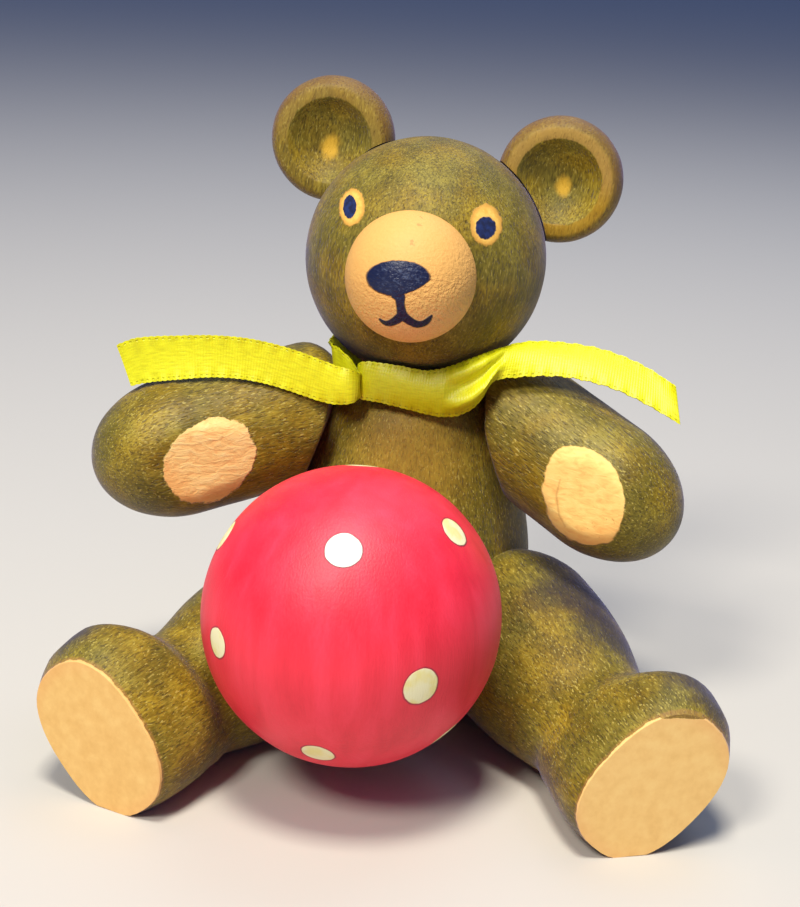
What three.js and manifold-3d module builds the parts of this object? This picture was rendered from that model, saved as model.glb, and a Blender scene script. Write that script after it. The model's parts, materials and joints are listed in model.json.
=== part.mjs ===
// A wooden bear, about 46 mm tall, that sits with its legs spread and a ball in its lap.
// Its body, head, muzzle, ears, arms and legs are turned and shaped wood, glued together.
// Millimetres, +Z up, the face looks along -Y, and the bear's own left side is +X.
// The origin is on the surface that the bear sits on, under the middle of its seat.
import * as THREE from 'three';
import { mergeVertices } from 'three/addons/utils/BufferGeometryUtils.js';
import Module from 'manifold-3d';

const wasm = await Module();
wasm.setup();

// Driving dimensions
const GLUE_GAP = 0.15;         // room for the glue between two pieces
const SIDES = 32;              // facets round the turned pieces

const HEAD_RADIUS = 8.74;
const HEAD_CENTRE = [0.1, 0, 32.95];
const HEAD_LIFT = 1.5;         // degrees that the face looks up
const HEAD_TURN = 4;           // degrees that the face turns to the bear's right
const HEAD_LEAN = 6;           // degrees that the head leans to the bear's left

const MUZZLE_RADIUS = 4.57;
const MUZZLE_OUT = 7.3;        // from the head's centre to the muzzle's
const MUZZLE_SIDES = 26;

const EAR_RADIUS = 4.56;
const EAR_THICK = 3.2;
const EAR_SIDES = 28;
const EAR_PLACE = [8.44, 2.5, 7.0];   // in the head's frame, mirrored for the other ear
const BAND_RADIUS = 3.7;        // where the flat front band meets the round rim
const DISH_RADIUS = 3.05;
const DISH_DEPTH = 1.45;

const BODY_CENTRE_X = -0.15;   // the head is glued a little to one side of the body
const BODY_PROFILE = [
  // radius, height
  [6.3, 0], [8, 2], [9.1, 6.5], [9.3, 11], [8.6, 15], [7.7, 18],
  [6.9, 20.9], [6.1, 22.7], [5, 23.7], [3.8, 24.3],
];

const ARM_LENGTH = 19;
const ARM_SIDES = 26;
const SHOULDER_ROUND = 2.2;
const PAW_ROUND = 6.6;         // length of the paw's rounded end
const PALM_CUT = 0.6;          // depth of the flat that is sanded for the palm
const INNER_LEAN = 19.5;       // degrees that the inner flat leans out, below this height
const INNER_LEAN_FROM = 22;

const BALL_RADIUS = 9.9;
const BALL_CENTRE = [-2.3, -19.4, 12.8];

// Meshes, solids and the way between them
const rad = THREE.MathUtils.degToRad;
const vec = (p) => new THREE.Vector3(...p);

function closed(geometry) {
  const bare = geometry.clone();
  bare.deleteAttribute('normal');
  bare.deleteAttribute('uv');
  const merged = mergeVertices(bare, 1e-4);
  const ids = merged.index.array;
  const kept = [];
  for (let i = 0; i < ids.length; i += 3) {
    const [a, b, c] = [ids[i], ids[i + 1], ids[i + 2]];
    if (a !== b && b !== c && c !== a) kept.push(a, b, c);
  }
  if (volume(merged.attributes.position, kept) < 0) kept.reverse();
  merged.setIndex(kept);
  return merged;
}

function volume(position, ids) {
  const [a, b, c] = [new THREE.Vector3(), new THREE.Vector3(), new THREE.Vector3()];
  let sum = 0;
  for (let i = 0; i < ids.length; i += 3) {
    a.fromBufferAttribute(position, ids[i]);
    b.fromBufferAttribute(position, ids[i + 1]);
    c.fromBufferAttribute(position, ids[i + 2]);
    sum += a.dot(b.cross(c)) / 6;
  }
  return sum;
}

function solid(geometry) {
  const mesh = closed(geometry);
  return new wasm.Manifold(new wasm.Mesh({
    numProp: 3,
    vertProperties: new Float32Array(mesh.attributes.position.array),
    triVerts: new Uint32Array(mesh.index.array),
  }));
}

function geometryOf(manifold) {
  const mesh = manifold.getMesh();
  const geometry = new THREE.BufferGeometry();
  geometry.setAttribute('position', new THREE.BufferAttribute(new Float32Array(mesh.vertProperties), 3));
  geometry.setIndex([...mesh.triVerts]);
  return geometry;
}

function cut(geometry, ...cutters) {
  let rest = solid(geometry);
  for (const cutter of cutters) rest = rest.subtract(solid(cutter));
  return geometryOf(rest);
}

function lathe(outline, sides = SIDES) {
  const points = outline.map(([r, z]) => new THREE.Vector2(Math.max(r, 0), z));
  return new THREE.LatheGeometry(points, sides).rotateX(Math.PI / 2);
}

function sphere(radius, sides = SIDES) {
  return new THREE.SphereGeometry(radius, sides, sides / 2).rotateX(Math.PI / 2);
}

function halfSpace(normal, distance, size = 60) {
  const block = new THREE.BoxGeometry(size, size, size).translate(0, 0, size / 2 + distance);
  const turn = new THREE.Quaternion().setFromUnitVectors(new THREE.Vector3(0, 0, 1), vec(normal).normalize());
  return block.applyQuaternion(turn);
}

function mirrored(geometry) {
  return closed(geometry.clone().scale(-1, 1, 1));
}

// Finishes
function finish(color, roughness) {
  return new THREE.MeshStandardMaterial({ color, roughness, metalness: 0 });
}
const stainedWood = finish('#6b5c26', 0.55);
const bareWood = finish('#e6b478', 0.7);
const redPaint = finish('#d92b45', 0.4);
const satin = finish('#e6f01a', 0.45);

function piece(name, geometry, material, parent) {
  const mesh = new THREE.Mesh(closed(geometry), material);
  mesh.name = name;
  parent.add(mesh);
  return mesh;
}

const bear = new THREE.Group();

// The body is turned like a pear, flat below, and hollowed at the neck where the head sits
const bodyCurve = new THREE.SplineCurve(BODY_PROFILE.map(([r, z]) => new THREE.Vector2(r, z)));
function bodySolid(grow = 0) {
  const side = bodyCurve.getPoints(20).map((p) => [p.x + grow, p.y]);
  side[0][1] -= grow;
  side.at(-1)[1] += grow;
  return lathe([[0, side[0][1]], ...side, [0, side.at(-1)[1]]]).translate(BODY_CENTRE_X, 0, 0);
}
const headCutter = sphere(HEAD_RADIUS + GLUE_GAP).translate(...HEAD_CENTRE);
piece('body', cut(bodySolid(), headCutter), stainedWood, bear);

// The head is a turned ball, and what is glued to it is cut hollow to sit on it
const head = new THREE.Group();
head.position.set(...HEAD_CENTRE);
head.rotation.set(-rad(HEAD_LIFT), rad(HEAD_LEAN), -rad(HEAD_TURN), 'ZYX');
bear.add(head);
piece('head', sphere(HEAD_RADIUS), stainedWood, head);
const headSeat = sphere(HEAD_RADIUS + GLUE_GAP);
const muzzleBall = sphere(MUZZLE_RADIUS, MUZZLE_SIDES).translate(0, -MUZZLE_OUT, 0);
piece('muzzle', cut(muzzleBall, headSeat), bareWood, head);

// An ear is a turned dish with a flat front band, a round rim and a gently domed back
function earOutline() {
  const half = EAR_THICK / 2;
  const ball = (DISH_RADIUS ** 2 + DISH_DEPTH ** 2) / (2 * DISH_DEPTH);
  const outline = [];
  for (let i = 0; i <= 4; i++) {
    const r = (DISH_RADIUS * i) / 4;
    outline.push([r, -half + DISH_DEPTH - ball + Math.sqrt(ball ** 2 - r ** 2)]);
  }
  for (let i = 0; i <= 5; i++) {
    const a = rad(-90 + 30 * i);
    outline.push([BAND_RADIUS + (EAR_RADIUS - BAND_RADIUS) * Math.cos(a), half * Math.sin(a)]);
  }
  outline.push([1.71, 1.65], [0, 1.75]);
  return outline;
}
function ear(side) {
  const dish = lathe(earOutline(), EAR_SIDES).rotateX(-Math.PI / 2);
  dish.translate(side * EAR_PLACE[0], EAR_PLACE[1], EAR_PLACE[2]);
  return cut(dish, headSeat);
}
piece('left_ear', ear(1), stainedWood, head);
piece('right_ear', ear(-1), stainedWood, head);

// The ball is held clear of the ground by the thighs and the belly
piece('ball', sphere(BALL_RADIUS).translate(...BALL_CENTRE), redPaint, bear);

// An arm is turned with a round paw, cut to the body's side and sanded flat for the palm
function armOutline(radius) {
  const outline = [[0, 0]];
  const corner = 3;
  for (let i = 0; i <= corner; i++) {
    const a = (i / corner) * Math.PI / 2;
    outline.push([
      radius - SHOULDER_ROUND * (1 - Math.sin(a)),
      SHOULDER_ROUND * (1 - Math.cos(a)),
    ]);
  }
  const steps = 8;
  for (let i = 0; i <= steps; i++) {
    const a = (i / steps) * Math.PI / 2;
    outline.push([radius * Math.cos(a), ARM_LENGTH - PAW_ROUND + PAW_ROUND * Math.sin(a)]);
  }
  return outline;
}
// The ribbon has to pass between the shoulders and the neck
const ribbonRoom = lathe([[0, 22], [4.6, 22.9], [7.1, 26.8], [7.1, 30], [0, 30]]);
ribbonRoom.translate(BODY_CENTRE_X, 0, 0);

// Each arm has its own radius, line, inner flat and palm, because they are glued on by hand
function arm(name, { radius, shoulder, direction, flat, palmTurn, palmTilt }) {
  const along = vec(direction).normalize();
  const front = new THREE.Vector3(0, -1, 0).addScaledVector(along, along.y).normalize();
  const up = new THREE.Vector3().crossVectors(along, front);
  const group = new THREE.Group();
  const matrix = new THREE.Matrix4().makeBasis(up, front.clone().negate(), along).setPosition(...shoulder);
  group.applyMatrix4(matrix);
  bear.add(group);
  const inward = matrix.clone().invert();
  const towardsBody = -Math.sign(shoulder[0]);
  const lean = rad(INNER_LEAN);
  const leanFrom = -flat * Math.cos(lean) - INNER_LEAN_FROM * Math.sin(lean);
  const innerSide = halfSpace([towardsBody, 0, 0], -flat).translate(BODY_CENTRE_X, 0, 0);
  const leaning = halfSpace([towardsBody * Math.cos(lean), 0, -Math.sin(lean)], leanFrom).translate(BODY_CENTRE_X, 0, 0);
  const cutters = [bodySolid(GLUE_GAP), innerSide, leaning, ribbonRoom.clone()];
  for (const cutter of cutters) cutter.applyMatrix4(inward);
  const turn = rad(palmTurn);
  const tilt = rad(palmTilt);
  const normal = [Math.sin(turn) * Math.cos(tilt), -Math.cos(turn) * Math.cos(tilt), Math.sin(tilt)];
  const furthest = (ARM_LENGTH - PAW_ROUND) * Math.sin(tilt)
    + Math.hypot(radius * Math.cos(tilt), PAW_ROUND * Math.sin(tilt));
  cutters.push(halfSpace(normal, furthest - PALM_CUT));
  piece(name, cut(lathe(armOutline(radius), ARM_SIDES), ...cutters), stainedWood, group);
}
arm('right_arm', {
  radius: 5.07,
  shoulder: [-5.6, -0.9, 21.85],
  direction: [-0.864, -0.467, -0.189],
  flat: 5.75,
  palmTurn: -4.8,
  palmTilt: 5.4,
});
arm('left_arm', {
  radius: 4.9,
  shoulder: [4.5, 0.75, 22.9],
  direction: [0.752, -0.567, -0.336],
  flat: 5.4,
  palmTurn: 1.5,
  palmTilt: 11.5,
});

// A leg is lofted from the hip to the sole through sections across its own line
const LEG_SECTIONS = [
  // along, offset towards the toes, half height, half width, squareness
  [0.00, 0.0, 4.2, 4.2, 2],
  [0.06, 0.0, 5.6, 5.6, 2],
  [0.16, 0.0, 6.4, 6.3, 2],
  [0.30, 0.1, 6.4, 6.2, 2],
  [0.46, 0.3, 5.9, 5.5, 2],
  [0.58, 0.5, 5.1, 4.7, 2],
  [0.66, 0.8, 4.8, 3.95, 2],
  [0.71, 1.1, 5.2, 3.95, 2.1],
  [0.76, 1.65, 5.75, 4.15, 2.2],
  [0.84, 2.1, 6.3, 4.35, 2.3],
  [0.93, 2.0, 6.1, 4.35, 2.4],
  [1.00, 1.7, 5.45, 3.95, 2.4],
];
function legGeometry({ hip, sole, soleTurn, toeLean }) {
  const turn = rad(soleTurn);
  const lean = rad(toeLean);
  const out = new THREE.Vector3(Math.sin(turn), -Math.cos(turn), 0);
  const side = new THREE.Vector3(Math.cos(turn), Math.sin(turn), 0);
  const toes = new THREE.Vector3(0, 0, Math.cos(lean)).addScaledVector(side, Math.sin(lean));
  const soleMid = vec(sole).addScaledVector(toes, -LEG_SECTIONS.at(-1)[1]);
  const spine = new THREE.CubicBezierCurve3(
    vec(hip),
    vec(hip).lerp(soleMid, 0.3),
    soleMid.clone().addScaledVector(out, -8),
    soleMid,
  );
  const ring = 28;
  const vertices = [];
  for (const [t, offset, high, wide, power] of LEG_SECTIONS) {
    const centre = spine.getPoint(t);
    const tangent = spine.getTangent(t);
    const up = toes.clone().addScaledVector(tangent, -toes.dot(tangent)).normalize();
    const across = new THREE.Vector3().crossVectors(up, tangent);
    for (let i = 0; i < ring; i++) {
      const a = (i / ring) * 2 * Math.PI;
      const x = Math.sign(Math.cos(a)) * Math.abs(Math.cos(a)) ** (2 / power);
      const y = Math.sign(Math.sin(a)) * Math.abs(Math.sin(a)) ** (2 / power);
      const p = centre.clone().addScaledVector(up, offset + high * x).addScaledVector(across, wide * y);
      vertices.push(p.x, p.y, p.z);
    }
  }
  const ids = [];
  const rings = LEG_SECTIONS.length;
  for (let j = 0; j + 1 < rings; j++) {
    for (let i = 0; i < ring; i++) {
      const [a, b] = [j * ring + i, j * ring + ((i + 1) % ring)];
      ids.push(a, b, b + ring, a, b + ring, a + ring);
    }
  }
  for (let i = 1; i + 1 < ring; i++) {
    ids.push(0, i + 1, i);
    const last = (rings - 1) * ring;
    ids.push(last, last + i, last + i + 1);
  }
  const geometry = new THREE.BufferGeometry();
  geometry.setAttribute('position', new THREE.Float32BufferAttribute(vertices, 3));
  geometry.setIndex(ids);
  return closed(geometry);
}
const ground = new THREE.BoxGeometry(90, 90, 20).translate(0, 0, -10);
const ballCutter = sphere(BALL_RADIUS + GLUE_GAP).translate(...BALL_CENTRE);
// Each leg's own places are written as if it were the bear's left leg
const leftLeg = legGeometry({ hip: [7, -2.2, 7.2], sole: [18, -24.7, 4.9], soleTurn: 18, toeLean: 43 });
const rightLeg = legGeometry({ hip: [5.6, -2, 6.2], sole: [18, -24.7, 4.9], soleTurn: 23, toeLean: 42 });
piece('left_leg', cut(leftLeg, bodySolid(GLUE_GAP), ballCutter, ground), stainedWood, bear);
piece('right_leg', cut(mirrored(rightLeg), bodySolid(GLUE_GAP), ballCutter, ground), stainedWood, bear);

// The ribbon comes in over the right arm, folds back on itself at the throat and goes round
// behind the neck. It comes to the throat again from the other side, folds back behind its first
// fold and leaves over the left arm. Each place has the lower edge, the upper edge and how far
// the middle bulges outwards.
const RIBBON_WIDTH = 3;
const RIBBON_THICK = 0.2;
const NECK_LOOP = { radius: 5.75, height: 25.2, flare: 0.62, from: 280, to: 50, places: 8 };
const RIGHT_TAIL = [
  { low: [-19.8, -8, 24.1], high: [-20.9, -7.8, 26.9], bulge: 0 },
  { low: [-18.6, -8, 24.4], high: [-19.7, -7.6, 27.4], bulge: -0.1 },
  { low: [-16.3, -8, 24.8], high: [-16.7, -7.3, 27.7], bulge: -0.1 },
  { low: [-14.1, -7.7, 25], high: [-14.1, -7.1, 27.9], bulge: -0.1 },
  { low: [-11.7, -7.5, 25], high: [-11.6, -6.9, 27.8], bulge: -0.1 },
  { low: [-9.6, -7.3, 24.6], high: [-9.2, -6.8, 27.4], bulge: 0 },
  { low: [-7.6, -7.2, 24], high: [-7.3, -6.8, 26.8], bulge: 0 },
  { low: [-6, -7.1, 23.6], high: [-5.8, -6.8, 26.3], bulge: 0.1 },
  { low: [-4.3, -7.15, 23.7], high: [-4.3, -6.7, 26], bulge: 0.2 },
  { low: [-3.8, -6.95, 23.9], high: [-3.9, -6.5, 25.8], bulge: 0.1 },
  { low: [-3.65, -6.6, 24], high: [-3.8, -6.25, 25.6], bulge: 0 },
  { low: [-3.72, -6.28, 24], high: [-3.86, -5.95, 25.7], bulge: 0 },
  { low: [-4.15, -6.1, 24.05], high: [-4.3, -5.75, 26.3], bulge: 0 },
  { low: [-5, -5.4, 24.4], high: [-5.3, -5.2, 27], bulge: 0 },
  { low: [-5.65, -4.5, 24.3], high: [-6, -4.4, 27.1], bulge: 0 },
  { low: [-5.45, -3.1, 24], high: [-6.15, -3.1, 26.9], bulge: 0 },
];
const LEFT_TAIL = [
  { low: [2, -5.3, 23.6], high: [1.9, -5.6, 25.8], bulge: 0 },
  { low: [-0.8, -5.85, 23.5], high: [-0.9, -6, 25.7], bulge: 0 },
  { low: [-2.6, -5.8, 23.7], high: [-2.6, -5.5, 25.7], bulge: 0 },
  { low: [-3.55, -5.6, 23.9], high: [-3.5, -5.1, 25.8], bulge: 0 },
  { low: [-4, -5.78, 24], high: [-4, -5.3, 26], bulge: 0 },
  { low: [-3.75, -6.05, 23.8], high: [-3.6, -5.55, 26.3], bulge: 0.1 },
  { low: [-2.5, -6.35, 23.7], high: [-2.1, -6.05, 26.4], bulge: 0.3 },
  { low: [-0.95, -6.65, 23.6], high: [-0.55, -6.4, 26.4], bulge: 0.4 },
  { low: [0.65, -6.8, 23.3], high: [0.8, -6.45, 26.2], bulge: 0.5 },
  { low: [1.95, -6.8, 23.1], high: [2, -6.4, 26.4], bulge: 0.6 },
  { low: [3.2, -6.75, 23.2], high: [3, -6.3, 26.8], bulge: 0.7 },
  { low: [4.2, -6.65, 23.7], high: [3.9, -6.1, 27.1], bulge: 0.75 },
  { low: [4.9, -6.5, 24.4], high: [4.7, -5.8, 27.4], bulge: 0.75 },
  { low: [5.35, -6.3, 25.3], high: [5.3, -5.3, 27.6], bulge: 0.7 },
  { low: [5.85, -6.1, 25.8], high: [6.2, -4.6, 27.8], bulge: 0.6 },
  { low: [7, -5.95, 26.1], high: [7.4, -4, 28.1], bulge: 0.45 },
  { low: [8.8, -5.85, 26.3], high: [9.1, -3.65, 28.2], bulge: 0.3 },
  { low: [10.7, -5.85, 26.4], high: [10.9, -3.5, 28.2], bulge: 0.2 },
  { low: [12.5, -6, 26.2], high: [12.8, -3.65, 28], bulge: 0.2 },
  { low: [14.3, -6.25, 25.85], high: [14.5, -3.9, 27.7], bulge: 0.1 },
  { low: [16, -6.6, 25.2], high: [16.2, -4.4, 27.2], bulge: 0.1 },
  { low: [17.6, -6.95, 24.6], high: [17.5, -5.1, 26.6], bulge: 0.1 },
  { low: [18.95, -7.3, 23.9], high: [18.45, -6.3, 26.4], bulge: 0 },
];
function neckLoop() {
  const { radius, height, flare, from, to, places } = NECK_LOOP;
  return Array.from({ length: places }, (_, i) => {
    const a = rad(from + ((to - from) * i) / (places - 1));
    const middle = new THREE.Vector3(BODY_CENTRE_X + radius * Math.sin(a), -radius * Math.cos(a), height);
    const half = new THREE.Vector3(flare * Math.sin(a), -flare * Math.cos(a), 1).setLength(RIBBON_WIDTH / 2);
    return { low: middle.clone().sub(half).toArray(), high: middle.clone().add(half).toArray(), bulge: 0 };
  });
}
const RIBBON_PLACES = [...RIGHT_TAIL, ...neckLoop(), ...LEFT_TAIL];
function ribbonGeometry(steps = 2 * (RIBBON_PLACES.length - 1)) {
  const curve = (edge) => new THREE.CatmullRomCurve3(RIBBON_PLACES.map(edge), false, 'centripetal');
  const low = curve((p) => vec(p.low));
  const high = curve((p) => vec(p.high));
  const bulge = curve((p, i) => new THREE.Vector3(p.bulge, i, 0));
  const rows = [];
  for (let i = 0; i <= steps; i++) {
    const t = i / steps;
    const [a, b] = [low.getPoint(t), high.getPoint(t)];
    const tangent = low.getTangent(t).add(high.getTangent(t));
    const normal = new THREE.Vector3().crossVectors(tangent, b.clone().sub(a)).normalize();
    const middle = a.clone().lerp(b, 0.5).addScaledVector(normal, bulge.getPoint(t).x);
    rows.push({ line: [a, middle, b], normal });
  }
  const vertices = [];
  for (const { line, normal } of rows) {
    for (const p of line) vertices.push(...p.clone().addScaledVector(normal, RIBBON_THICK / 2).toArray());
    for (const p of line.reverse()) vertices.push(...p.clone().addScaledVector(normal, -RIBBON_THICK / 2).toArray());
  }
  const ids = [];
  for (let i = 0; i < steps; i++) {
    for (let k = 0; k < 6; k++) {
      const [a, b] = [i * 6 + k, i * 6 + ((k + 1) % 6)];
      ids.push(a, b, b + 6, a, b + 6, a + 6);
    }
  }
  const end = steps * 6;
  ids.push(0, 4, 1, 0, 5, 4, 1, 3, 2, 1, 4, 3);
  ids.push(end, end + 1, end + 4, end, end + 4, end + 5, end + 1, end + 2, end + 3, end + 1, end + 3, end + 4);
  const geometry = new THREE.BufferGeometry();
  geometry.setAttribute('position', new THREE.Float32BufferAttribute(vertices, 3));
  geometry.setIndex(ids);
  return geometry;
}
piece('neck_ribbon', ribbonGeometry(), satin, bear);

export default bear;
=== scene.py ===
# %% [markdown]
# # A small turned wooden bear
# The real figure is about 45 mm tall. Its maker turned the head, muzzle, ears, body, arms and ball on a lathe,
# shaped the two legs, stained the wood an olive brown, glued it together and painted the face by hand.
# A ribbon of yellow-green satin, 3 mm wide, goes round the neck. This lesson builds each piece as a smooth
# mesh over the coarser fixed frame, in the same places, and then gives each its finish.
# %% The fixed frame
import json
from bisect import bisect_left
from math import cos, exp, hypot, log, pi, radians, sin, sqrt, tau

import bpy
from mathutils import Euler, Matrix, Vector

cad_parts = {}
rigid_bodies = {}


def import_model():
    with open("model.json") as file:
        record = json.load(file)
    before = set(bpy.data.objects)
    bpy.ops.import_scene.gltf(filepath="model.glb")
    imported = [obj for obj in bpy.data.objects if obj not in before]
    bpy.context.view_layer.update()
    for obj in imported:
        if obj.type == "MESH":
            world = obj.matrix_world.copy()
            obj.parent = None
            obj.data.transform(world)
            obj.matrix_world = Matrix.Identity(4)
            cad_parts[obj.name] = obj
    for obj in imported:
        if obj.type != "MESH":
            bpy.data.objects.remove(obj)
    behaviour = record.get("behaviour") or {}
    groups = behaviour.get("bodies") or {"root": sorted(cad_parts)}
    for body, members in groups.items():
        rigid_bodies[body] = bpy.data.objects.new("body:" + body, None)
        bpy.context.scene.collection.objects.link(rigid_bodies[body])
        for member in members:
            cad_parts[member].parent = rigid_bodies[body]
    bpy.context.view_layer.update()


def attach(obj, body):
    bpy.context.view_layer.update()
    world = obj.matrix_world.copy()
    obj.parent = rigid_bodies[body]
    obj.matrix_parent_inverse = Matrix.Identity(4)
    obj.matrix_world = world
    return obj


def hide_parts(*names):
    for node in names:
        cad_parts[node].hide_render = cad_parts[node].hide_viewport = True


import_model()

# %% [markdown]
# ## Units and small helpers
# Every size below is in millimetres, as the maker would measure it, and Blender works in metres. Operators act on
# whatever is selected, and the frame is still selected after loading, so each step starts by deselecting all.
# %% Units and selection
MM = 0.001


def mm(x, y, z):
    """A place in millimetres as a vector in metres."""
    return Vector((x, y, z)) * MM


def mirrored(place_mm, side):
    """A place that is given for the bear's left, or its mirror image where side is -1."""
    return Vector((side * place_mm[0], place_mm[1], place_mm[2]))


def fresh_start():
    """Leaves edit mode and deselects everything."""
    if bpy.context.mode != "OBJECT":
        bpy.ops.object.mode_set(mode="OBJECT")
    bpy.ops.object.select_all(action="DESELECT")


def pick(piece):
    """Selects one piece alone."""
    fresh_start()
    piece.select_set(True)
    bpy.context.view_layer.objects.active = piece


def place(piece, matrix):
    """Turns and moves a piece, and then puts that place into its mesh."""
    pick(piece)
    piece.matrix_world = matrix
    bpy.ops.object.transform_apply(location=True, rotation=True, scale=True)


# %% [markdown]
# ## The camera
# The photograph looks 18 degrees down on the bear, from a little to its left, with a longish lens, and the picture
# is rolled three degrees. Those numbers were solved from the outlines of the soles, the ball and the head.
# %% The camera
CAMERA_PLACE = (7.86, -125.3, 58.71)
CAMERA_YAW, CAMERA_PITCH, CAMERA_ROLL = radians(4.06), radians(18), radians(3)
FOCAL_PIXELS = 1750
PICTURE_HEIGHT = 907
SENSOR = 36

bpy.ops.object.camera_add(location=mm(*CAMERA_PLACE))
camera = bpy.context.object
camera.rotation_euler = (
    Matrix.Rotation(CAMERA_YAW, 3, "Z")
    @ Matrix.Rotation(pi / 2 - CAMERA_PITCH, 3, "X")
    @ Matrix.Rotation(CAMERA_ROLL, 3, "Z")
).to_euler()
camera.data.sensor_width = SENSOR
camera.data.lens = FOCAL_PIXELS * SENSOR / PICTURE_HEIGHT
camera.data.clip_start = 0.01
bpy.context.scene.camera = camera
print("lens", round(camera.data.lens, 2), "mm")

# %% [markdown]
# ## Turning on the lathe
# A lathe spins a square blank while a chisel cuts the outline, so a turned piece is one outline swept round an axis.
# Blender can do just that: one vertex is extruded along the outline, and Spin sweeps it. A sphere primitive would
# do for a ball, but only the outline gives the pear-shaped body, the dished ears and the rounded paws.
# %% Turning
WELD = 0.002  # two vertices closer than this, in millimetres, become one


def turned(name, outline, sides):
    """Sweeps an outline of (radius, height) in millimetres round the Z axis, and closes both poles."""
    fresh_start()
    bpy.ops.mesh.primitive_plane_add(size=MM)
    piece = bpy.context.object
    piece.name = piece.data.name = name
    bpy.ops.object.mode_set(mode="EDIT")
    bpy.ops.mesh.merge(type="CENTER")
    at = Vector((0, 0, 0))
    for i, (radius, height) in enumerate(outline):
        step = mm(radius, 0, height) - at
        if i == 0:
            bpy.ops.transform.translate(value=step)
        else:
            bpy.ops.mesh.extrude_region_move(TRANSFORM_OT_translate={"value": step})
        at += step
    bpy.ops.mesh.select_all(action="SELECT")
    bpy.ops.mesh.spin(steps=sides, angle=tau, center=(0, 0, 0), axis=(0, 0, 1))
    bpy.ops.mesh.select_all(action="SELECT")
    bpy.ops.mesh.remove_doubles(threshold=WELD * MM)
    bpy.ops.mesh.normals_make_consistent(inside=False)
    bpy.ops.object.mode_set(mode="OBJECT")
    return piece


def arc(centre, radii, start, end, steps):
    """Points of an elliptical arc, in degrees from the radius axis."""
    turns = [radians(start + (end - start) * i / steps) for i in range(steps + 1)]
    return [(centre[0] + radii[0] * cos(a), centre[1] + radii[1] * sin(a)) for a in turns]


def turned_ball(name, radius, steps):
    """A ball, from half a circle that is swept all the way round."""
    return turned(name, arc((0, 0), (radius, radius), -90, 90, steps), sides=2 * steps)


# %% A smooth curve
def curve_through(points, steps):
    """A smooth curve through all the points: Catmull-Rom with centripetal spacing."""
    points = [Vector(p) for p in points]
    points = [2 * points[0] - points[1], *points, 2 * points[-1] - points[-2]]
    spans = len(points) - 3
    found = []
    for i in range(steps + 1):
        k = min(int(i * spans / steps), spans - 1)
        share = i * spans / steps - k
        p = points[k:k + 4]
        knots = [0]
        for a, b in zip(p, p[1:]):
            knots.append(knots[-1] + sqrt((b - a).length))
        t = knots[1] + share * (knots[2] - knots[1])
        for width in (1, 2, 3):
            p = [
                a * ((knots[j + width] - t) / (knots[j + width] - knots[j]))
                + b * ((t - knots[j]) / (knots[j + width] - knots[j]))
                for j, (a, b) in enumerate(zip(p, p[1:]))
            ]
        found.append(p[0])
    return found


# %% [markdown]
# ## What the hand leaves behind
# A lathe leaves a perfectly round piece, but sanding, staining and gluing don't. A Displace modifier with a soft
# cloud texture moves the surface by a few hundredths of a millimetre, enough for a highlight to wander a little.
# %% Uneven surfaces
def uneven(piece, size, depth):
    """Raises and lowers the surface in soft waves, whose size and depth are in millimetres."""
    pick(piece)
    clouds = bpy.data.textures.new(piece.name + "_waves", "CLOUDS")
    clouds.noise_scale = size * MM
    bpy.ops.object.modifier_add(type="DISPLACE")
    wave = piece.modifiers[-1]
    wave.texture = clouds
    wave.texture_coords = "LOCAL"
    wave.strength = depth * MM
    bpy.ops.object.modifier_apply(modifier=wave.name)


# %% [markdown]
# ## Flats and seats
# A flat can be made in two ways. Bisect cuts away all that lies beyond a plane and closes the cut, which suits the
# broad underside of the bear. Where the cut is shallow, its many new corners would look ragged, so there the
# vertices beyond the plane are moved onto it instead, as sanding does. Where a piece is glued to a ball, a Boolean
# takes out its seat.
# %% Flats
UNTOUCHED = -12  # this many soft widths below a plane, pressing leaves the surface as it is
PRESSED_HOME = 30  # and this many beyond it, the surface ends up on the plane


def facing_out(piece):
    """Turns the faces of a closed piece that point inwards."""
    pick(piece)
    bpy.ops.object.mode_set(mode="EDIT")
    bpy.ops.mesh.select_all(action="SELECT")
    bpy.ops.mesh.normals_make_consistent(inside=False)
    bpy.ops.object.mode_set(mode="OBJECT")


def flat(piece, through, facing, soften=0.12):
    """Cuts away what lies beyond a plane, closes the cut and softens its edge."""
    through, facing = Vector(through), Vector(facing)
    pick(piece)
    bpy.ops.object.mode_set(mode="EDIT")
    bpy.ops.mesh.select_all(action="SELECT")
    bpy.ops.mesh.bisect(plane_co=through, plane_no=facing, use_fill=True, clear_outer=True)
    bpy.ops.mesh.bevel(offset=soften * MM, segments=3, affect="EDGES")
    bpy.ops.object.mode_set(mode="OBJECT")
    for vertex in piece.data.vertices:
        # the bevel can push an edge past the plane, so it is put back
        beyond = (vertex.co - through).dot(facing)
        vertex.co -= facing * max(0, beyond)
    # where the cut is only a sliver the bevel can leave a face twice or turned over
    piece.data.validate()
    facing_out(piece)


def pressed(piece, through, facing, soft=0.07):
    """Flattens what stands beyond a plane, as sanding does, and leaves a softened edge."""
    for vertex in piece.data.vertices:
        beyond = (vertex.co - through).dot(facing) / (soft * MM)
        if beyond > UNTOUCHED:
            left = -log(1 + exp(-beyond)) if beyond < PRESSED_HOME else 0
            vertex.co += facing * ((left - beyond) * soft * MM)


# %% Seats
def seat(piece, centre, radius):
    """Hollows a piece where it is glued to a ball."""
    fresh_start()
    bpy.ops.mesh.primitive_uv_sphere_add(segments=128, ring_count=64, radius=radius * MM, location=centre)
    ball = bpy.context.object
    pick(piece)
    bpy.ops.object.modifier_add(type="BOOLEAN")
    cut = piece.modifiers[-1]
    cut.operation = "DIFFERENCE"
    cut.object = ball
    bpy.ops.object.modifier_apply(modifier=cut.name)
    bpy.data.objects.remove(ball)


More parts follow.
